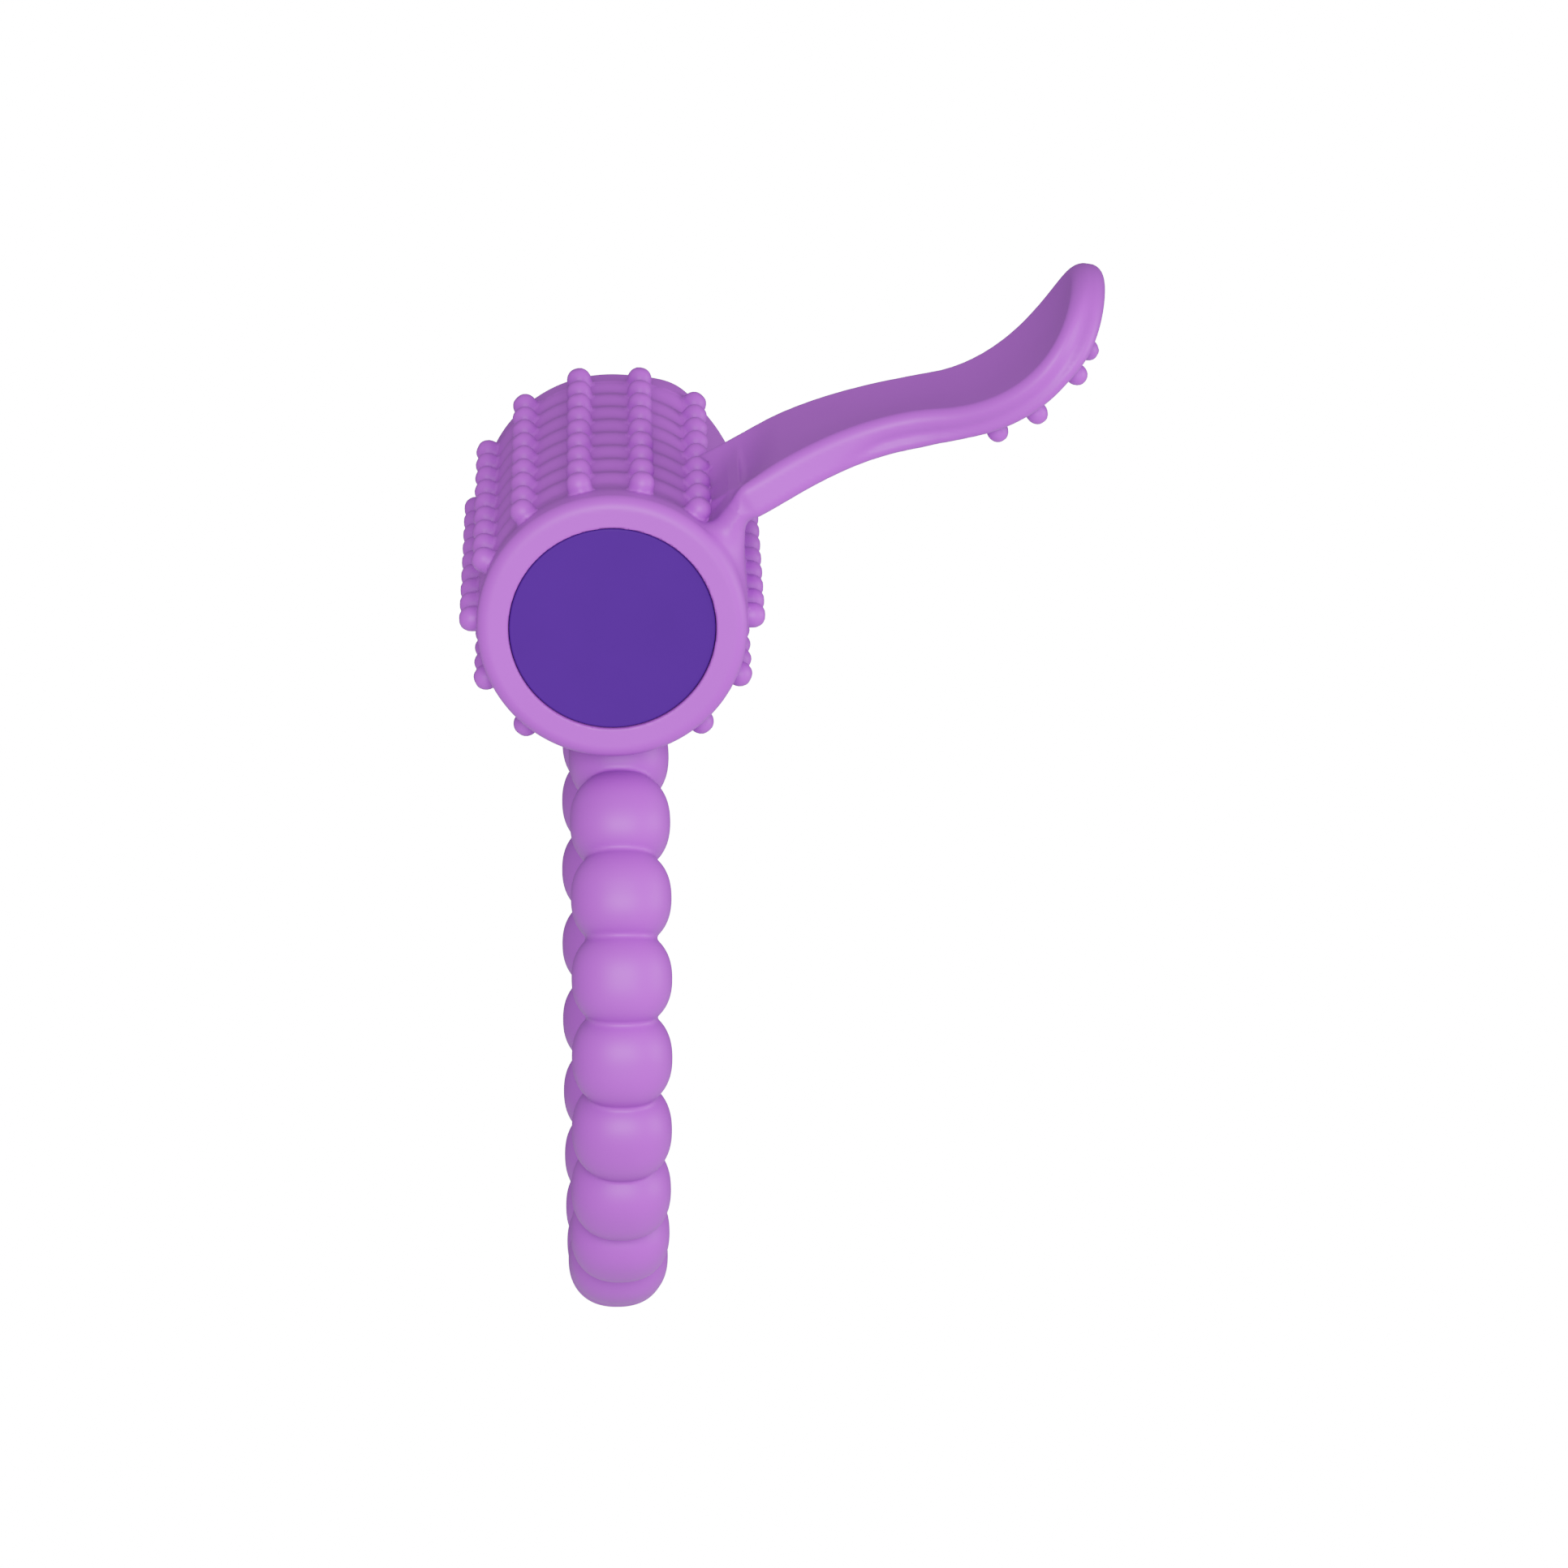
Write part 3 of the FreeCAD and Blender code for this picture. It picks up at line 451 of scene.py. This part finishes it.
def sample(field, low, step, counts):
    """Values of the field on a grid, worked out only in blocks that the surface may pass through."""
    blocks = [-(-count // BLOCK) for count in counts]
    values = np.empty([b * BLOCK for b in blocks], np.float32)
    corner = np.stack(np.meshgrid(*[np.arange(b) for b in blocks], indexing="ij"), -1).reshape(-1, 3)
    middle = low + (corner * BLOCK + (BLOCK - 1) / 2) * step
    distance = field(middle)
    tiled = values.reshape(blocks[0], BLOCK, blocks[1], BLOCK, blocks[2], BLOCK)
    tiled[...] = distance.reshape(blocks)[:, None, :, None, :, None]
    active = corner[np.abs(distance) < BLOCK * step * BLOCK_REACH]
    local = np.stack(np.meshgrid(*[np.arange(BLOCK)] * 3, indexing="ij"), -1).reshape(-1, 3)
    for start in range(0, len(active), BLOCKS_AT_ONCE):
        some = active[start:start + BLOCKS_AT_ONCE]
        points = low + (some[:, None, :] * BLOCK + local) * step
        found = field(points.reshape(-1, 3)).reshape(-1, BLOCK, BLOCK, BLOCK)
        for (i, j, k), block in zip(some, found):
            tiled[i, :, j, :, k, :] = block
    return values


def surface_net(values, low, step):
    """Quads through the cells that the surface crosses."""
    inside = values < 0
    shape = np.array(values.shape) - 1
    count = np.zeros(shape, np.int8)
    offsets = [(i, j, k) for i in (0, 1) for j in (0, 1) for k in (0, 1)]
    for i, j, k in offsets:
        count += inside[i:i + shape[0], j:j + shape[1], k:k + shape[2]]
    cells = np.argwhere((count > 0) & (count < 8))
    number = np.full(shape, -1, np.int32)
    number[tuple(cells.T)] = np.arange(len(cells))
    total = np.zeros((len(cells), 3))
    crossings = np.zeros(len(cells))
    for a in offsets:
        for axis in range(3):
            if a[axis]:
                continue
            b = list(a)
            b[axis] = 1
            value_a = values[tuple((cells + a).T)].astype(float)
            value_b = values[tuple((cells + b).T)].astype(float)
            crosses = (value_a < 0) != (value_b < 0)
            share = np.where(crosses, value_a / np.where(crosses, value_a - value_b, 1), 0)
            place = np.array(a, float) + share[:, None] * (np.array(b) - np.array(a))
            total += place * crosses[:, None]
            crossings += crosses
    points = low + (cells + total / crossings[:, None]) * step
    quads = []
    for axis in range(3):
        first, second = (axis + 1) % 3, (axis + 2) % 3
        ahead = np.roll(inside, -1, axis)
        edges = np.argwhere(inside != ahead)
        fits = (edges[:, axis] < shape[axis]) & (edges[:, first] > 0) & (edges[:, second] > 0)
        fits &= (edges[:, first] < shape[first]) & (edges[:, second] < shape[second])
        edges = edges[fits]
        leaving = inside[tuple(edges.T)]
        ring = []
        for back_first, back_second in ((1, 1), (0, 1), (0, 0), (1, 0)):
            cell = edges.copy()
            cell[:, first] -= back_first
            cell[:, second] -= back_second
            ring.append(number[tuple(cell.T)])
        ring = np.stack(ring, 1)
        ring[~leaving] = ring[~leaving][:, ::-1]
        quads.append(ring)
    return points, np.concatenate(quads)


def gradient(field, points, reach):
    """Direction and size of the field's slope."""
    slope = np.empty_like(points)
    for axis in range(3):
        offset = np.zeros(3)
        offset[axis] = reach
        slope[:, axis] = (field(points + offset) - field(points - offset)) / (2 * reach)
    return slope


def settle(field, points, limit):
    """Moves the points onto the surface along the field's slope."""
    slope = gradient(field, points, SLOPE_STEP)
    size = np.maximum((slope ** 2).sum(1), LEAST_SLOPE_SQUARED)
    move = -(field(points) / size)[:, None] * slope
    length = np.maximum(np.linalg.norm(move, axis=1), TINY)
    return points + move * np.minimum(1, limit / length)[:, None]


def relax(field, points, quads):
    """Evens out the quads without leaving the surface."""
    total = np.zeros_like(points)
    count = np.zeros(len(points))
    for corner in range(4):
        for other in (1, 3):
            np.add.at(total, quads[:, corner], points[quads[:, (corner + other) % 4]])
            np.add.at(count, quads[:, corner], 1)
    slope = gradient(field, points, SLOPE_STEP)
    slope /= np.maximum(np.linalg.norm(slope, axis=1), TINY)[:, None]
    move = total / count[:, None] - points
    move -= (move * slope).sum(1)[:, None] * slope
    return points + RELAX_SHARE * move


def skin_mesh():
    """Points and quads of the whole silicone moulding, in millimetres."""
    margin = MARGIN_STEPS * GRID_STEP
    low = np.array([min(a, b) for a, b in zip(sleeve_low, ring_low)]) / MM - margin
    high = np.array(cad_box[1]) / MM + margin
    counts = np.ceil((high - low) / GRID_STEP).astype(int) + 1
    values = sample(skin, low, GRID_STEP, counts)
    points, quads = surface_net(values, low, GRID_STEP)
    for _ in range(RELAX_ROUNDS):
        points = settle(skin, points, GRID_STEP / 2)
        points = relax(skin, points, quads)
    points = settle(skin, points, GRID_STEP / 2)
    return settle(skin, points, GRID_STEP / 2), quads


def cut_piece(name, source, cuts):
    """Copy of the skin that keeps what lies behind each cut, closed at the cuts."""
    shape = bmesh.new()
    shape.from_mesh(source)
    for place, direction in cuts:
        everything = shape.verts[:] + shape.edges[:] + shape.faces[:]
        bmesh.ops.bisect_plane(
            shape, geom=everything, dist=CUT_TOLERANCE, plane_co=place, plane_no=direction,
            clear_outer=True,
        )
        rim = [edge for edge in shape.edges if edge.is_boundary]
        bmesh.ops.holes_fill(shape, edges=rim, sides=0)
    caps = [face for face in shape.faces if len(face.verts) > 4]
    bmesh.ops.triangulate(shape, faces=caps)
    mesh = bpy.data.meshes.new(name)
    shape.to_mesh(mesh)
    shape.free()
    places = np.empty(len(mesh.vertices) * 3)
    mesh.vertices.foreach_get("co", places)
    places = places.reshape(-1, 3) / MM
    slope = gradient(skin, places, NORMAL_STEP)
    slope /= np.maximum(np.linalg.norm(slope, axis=1), TINY)[:, None]
    mesh.polygons.foreach_set("use_smooth", [True] * len(mesh.polygons))
    mesh.normals_split_custom_set_from_vertices(slope.tolist())
    piece = bpy.data.objects.new(name, mesh)
    bpy.context.scene.collection.objects.link(piece)
    return piece


# ---- materials ----

class Nodes:
    """Small helper that builds one node material."""

    def __init__(self, name):
        self.material = bpy.data.materials.new(name)
        self.material.use_nodes = True
        self.tree = self.material.node_tree
        self.shader = self.tree.nodes["Principled BSDF"]
        self.place = self.add("ShaderNodeTexCoord").outputs["Object"]

    def add(self, kind, **settings):
        """New node with its settings."""
        node = self.tree.nodes.new(kind)
        for key, value in settings.items():
            setattr(node, key, value)
        return node

    def link(self, output, target):
        """Joins an output to an input."""
        self.tree.links.new(output, target)

    def noise(self, scale, detail=3.0, stretch=(1, 1, 1)):
        """Noise over the object's own coordinates."""
        mapping = self.add("ShaderNodeMapping")
        mapping.inputs["Scale"].default_value = stretch
        self.link(self.place, mapping.inputs["Vector"])
        node = self.add("ShaderNodeTexNoise")
        node.inputs["Scale"].default_value = scale
        node.inputs["Detail"].default_value = detail
        self.link(mapping.outputs["Vector"], node.inputs["Vector"])
        return node.outputs["Fac"]

    def ramp(self, value, low, high):
        """Colours between low and high."""
        node = self.add("ShaderNodeValToRGB")
        for element, position, colour in zip(node.color_ramp.elements, RAMP_ENDS, (low, high)):
            element.position = position
            element.color = (*colour, 1)
        self.link(value, node.inputs["Fac"])
        return node.outputs["Color"]

    def span(self, value, low, high):
        """Value from 0 to 1 moved to the range low to high."""
        node = self.add("ShaderNodeMapRange")
        node.inputs["To Min"].default_value = low
        node.inputs["To Max"].default_value = high
        self.link(value, node.inputs["Value"])
        return node.outputs["Result"]

    def bump(self, value, height):
        """Surface relief, with its height in metres."""
        node = self.add("ShaderNodeBump")
        node.inputs["Distance"].default_value = height
        node.inputs["Strength"].default_value = 1.0
        self.link(value, node.inputs["Height"])
        self.link(node.outputs["Normal"], self.shader.inputs["Normal"])


def shade(colour, factor):
    """The colour, lighter or darker."""
    return tuple(min(1.0, channel * factor) for channel in colour)


def finish(
    name, colour, roughness, metallic=0.0, grain=900.0, spread=0.08, relief=8e-6,
    stretch=(1, 1, 1), gloss=0.5,
):
    """Moulded, painted or metal surface with fine grain, mottled colour and uneven gloss."""
    nodes = Nodes(name)
    broad = nodes.noise(grain / MOTTLE_SIZE, 4.0, stretch)
    fine = nodes.noise(grain, 3.0, stretch)
    mottled = nodes.ramp(broad, shade(colour, 1 - spread), shade(colour, 1 + spread))
    nodes.link(mottled, nodes.shader.inputs["Base Color"])
    uneven = nodes.span(fine, roughness - ROUGHNESS_SWING, roughness + ROUGHNESS_SWING)
    nodes.link(uneven, nodes.shader.inputs["Roughness"])
    nodes.shader.inputs["Metallic"].default_value = metallic
    nodes.shader.inputs["Specular IOR Level"].default_value = gloss
    nodes.bump(fine, relief)
    return nodes.material


def silicone():
    """Satin lilac silicone: even pigment with a faint mould haze and a very fine grain."""
    nodes = Nodes("silicone_skin")
    haze = nodes.noise(SILICONE_HAZE, 4.0)
    fine = nodes.noise(SILICONE_GRAIN, 2.0)
    nodes.link(nodes.ramp(haze, SILICONE_DARK, SILICONE_LIGHT), nodes.shader.inputs["Base Color"])
    nodes.link(nodes.span(haze, *SILICONE_ROUGHNESS), nodes.shader.inputs["Roughness"])
    nodes.shader.inputs["Specular IOR Level"].default_value = 0.5
    nodes.bump(fine, SILICONE_RELIEF)
    return nodes.material


# ---- scene ----

def build_skin(material):
    """The silicone moulding cut in three pieces, where the ring and the tongue meet the sleeve."""
    points, quads = skin_mesh()
    source = bpy.data.meshes.new("skin_source")
    source.from_pydata((points * MM).tolist(), [], quads.tolist())
    ring_place = Vector((0, 0, RING_CUT * MM))
    ring_up = Vector((0, 0, 1))
    along = Vector((math.cos(ROOT_ANGLE), 0, math.sin(ROOT_ANGLE)))
    start = Vector((TONGUE_START[0], TONGUE_CENTRE + FRONT_Y, TONGUE_START[1] + AXIS_Z)) * MM
    tongue_cut = start + along * TONGUE_CUT * MM
    ring = cut_piece("silicone_ring", source, [(ring_place, ring_up)])
    tongue = cut_piece("silicone_tongue", source, [(tongue_cut, -along)])
    sleeve = cut_piece("silicone_sleeve", source, [(ring_place, -ring_up), (tongue_cut, along)])
    bpy.data.meshes.remove(source)
    for piece, node in ((ring, "beaded_ring"), (tongue, "tongue"), (sleeve, "sleeve")):
        piece.data.materials.append(material)
        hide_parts(node)
    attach(sleeve, "sleeve")
    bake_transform(ring)
    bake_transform(tongue)


def dress_bullet():
    """Finished materials on every node of the bullet."""
    plastic = finish(
        "bullet_plastic", BULLET_VIOLET, 0.55, grain=1400.0, spread=0.03, relief=3e-6, gloss=0.08,
    )
    rubber = finish("boot_rubber", (0.012, 0.012, 0.014), 0.75)
    brass = finish("brass", (0.62, 0.42, 0.14), 0.3, 1.0)
    board = finish("board", (0.01, 0.09, 0.03), 0.45)
    black = finish("black_plastic", (0.012, 0.012, 0.013), 0.5)
    white = finish("white_plastic", (0.68, 0.68, 0.65), 0.45)
    steel = finish("steel", (0.56, 0.56, 0.58), 0.28, 1.0, stretch=(1, 6, 1))
    film = finish("liner_film", (0.65, 0.50, 0.18), 0.2)
    magnet = finish("magnet", (0.02, 0.02, 0.022), 0.6)
    bronze = finish("bronze", (0.42, 0.22, 0.08), 0.4, 1.0)
    copper = finish("copper", (0.62, 0.22, 0.09), 0.3, 1.0, stretch=(1, 20, 1))
    tungsten = finish("tungsten", (0.16, 0.16, 0.17), 0.5, 0.8)
    red = finish("red_insulation", (0.45, 0.01, 0.01), 0.3)
    wearers = {
        "push_button": plastic, "battery_cap": plastic, "bullet_shell": plastic,
        "button_boot": rubber, "cap_o_ring": rubber, "motor_cradle": rubber,
        "cap_contact_ring": brass, "conductor_strip": brass, "rear_contact": brass,
        "switch_board": board, "tact_switch": black, "controller_chip": black, "black_lead": black,
        "switch_stem": white, "board_components": white, "bulkhead": white, "motor_end_cap": white,
        "battery_spring": steel, "button_cell_front": steel, "button_cell_rear": steel,
        "motor_can": steel, "motor_shaft": steel, "battery_liner": film, "motor_magnet": magnet,
        "motor_brushes": bronze, "shaft_bush": bronze, "commutator": copper, "armature": copper,
        "eccentric_weight": tungsten, "red_lead": red,
    }
    for node, material in wearers.items():
        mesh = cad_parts[node].data
        mesh.materials.clear()
        mesh.materials.append(material)


def soft_boot():
    """The rubber boot behind the button, as its own mesh carried with the cap."""
    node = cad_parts["button_boot"]
    piece = bpy.data.objects.new("soft_button_boot", node.data.copy())
    bpy.context.scene.collection.objects.link(piece)
    bpy.context.view_layer.update()
    piece.matrix_world = node.matrix_world.copy()
    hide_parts("button_boot")
    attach(piece, "cap")
    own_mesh(piece)


def studio():
    """White surround that is dimmer as a light than as a backdrop, pale floor and two soft lights."""
    world = bpy.data.worlds.new("studio")
    bpy.context.scene.world = world
    world.use_nodes = True
    tree = world.node_tree
    background = tree.nodes["Background"]
    background.inputs["Color"].default_value = (1, 1, 1, 1)
    path = tree.nodes.new("ShaderNodeLightPath")
    level = tree.nodes.new("ShaderNodeMapRange")
    level.inputs["To Min"].default_value = WORLD_LEVEL
    level.inputs["To Max"].default_value = 1.0
    dim = tree.nodes.new("ShaderNodeMapRange")
    dim.inputs["To Min"].default_value = 1.0
    dim.inputs["To Max"].default_value = GLOSSY_SHARE
    product = tree.nodes.new("ShaderNodeMath")
    product.operation = "MULTIPLY"
    tree.links.new(path.outputs["Is Camera Ray"], level.inputs["Value"])
    tree.links.new(path.outputs["Is Glossy Ray"], dim.inputs["Value"])
    tree.links.new(level.outputs["Result"], product.inputs[0])
    tree.links.new(dim.outputs["Result"], product.inputs[1])
    tree.links.new(product.outputs["Value"], background.inputs["Strength"])
    for name, place in LIGHT_PLACES.items():
        area_light(name, place, LIGHT_SIZES[name], LIGHT_POWERS[name])
    floor()


def tone():
    """Photographic tone curve: bright colours pale gently and white stays white."""
    settings = bpy.context.scene.view_settings
    settings.view_transform = "Standard"
    settings.use_curve_mapping = True
    curve = settings.curve_mapping.curves[COMBINED_CURVE]
    for step in TONE_STEPS:
        curve.points.new(step, (1 + SHOULDER) * step / (step + SHOULDER))
    settings.curve_mapping.update()


def area_light(name, place, size, power):
    """Square soft light that faces the object."""
    data = bpy.data.lights.new(name, "AREA")
    data.size = size
    data.energy = power
    light = bpy.data.objects.new(name, data)
    light.location = place
    light.rotation_euler = (-Vector(place)).to_track_quat("-Z", "Y").to_euler()
    bpy.context.scene.collection.objects.link(light)


def floor():
    """Pale floor well below the part."""
    mesh = bpy.data.meshes.new("floor")
    sides = ((-1, -1), (1, -1), (1, 1), (-1, 1))
    corners = [(x * FLOOR_HALF_SIZE, y * FLOOR_HALF_SIZE, FLOOR_Z) for x, y in sides]
    mesh.from_pydata(corners, [], [(0, 1, 2, 3)])
    ground = bpy.data.objects.new("floor", mesh)
    bpy.context.scene.collection.objects.link(ground)
    nodes = Nodes("pale_floor")
    nodes.shader.inputs["Base Color"].default_value = FLOOR_COLOUR
    nodes.shader.inputs["Roughness"].default_value = FLOOR_ROUGHNESS
    mesh.materials.append(nodes.material)


def camera():
    """Camera in front and a little above, turned slightly, with a long lens."""
    level = Vector((math.cos(CAMERA_AZIMUTH), math.sin(CAMERA_AZIMUTH), 0))
    ahead = Vector((-level.y, level.x, 0))
    back = Vector((0, 0, math.sin(CAMERA_ELEVATION))) - ahead * math.cos(CAMERA_ELEVATION)
    upright = back.cross(level)
    right = level * math.cos(CAMERA_ROLL) + upright * math.sin(CAMERA_ROLL)
    up = upright * math.cos(CAMERA_ROLL) - level * math.sin(CAMERA_ROLL)
    data = bpy.data.cameras.new("camera")
    data.lens = CAMERA_LENS
    data.clip_end = CAMERA_REACH
    view = bpy.data.objects.new("camera", data)
    button_centre = Vector((0, FRONT_Y * MM, AXIS_Z * MM))
    place = button_centre + right * CAMERA_ASIDE + up * CAMERA_ABOVE + back * CAMERA_DISTANCE
    turn = Matrix((right, up, back)).transposed().to_4x4()
    view.matrix_world = Matrix.Translation(place) @ turn
    bpy.context.scene.collection.objects.link(view)
    bpy.context.scene.camera = view


tone()
camera()
studio()
dress_bullet()
soft_boot()
build_skin(silicone())
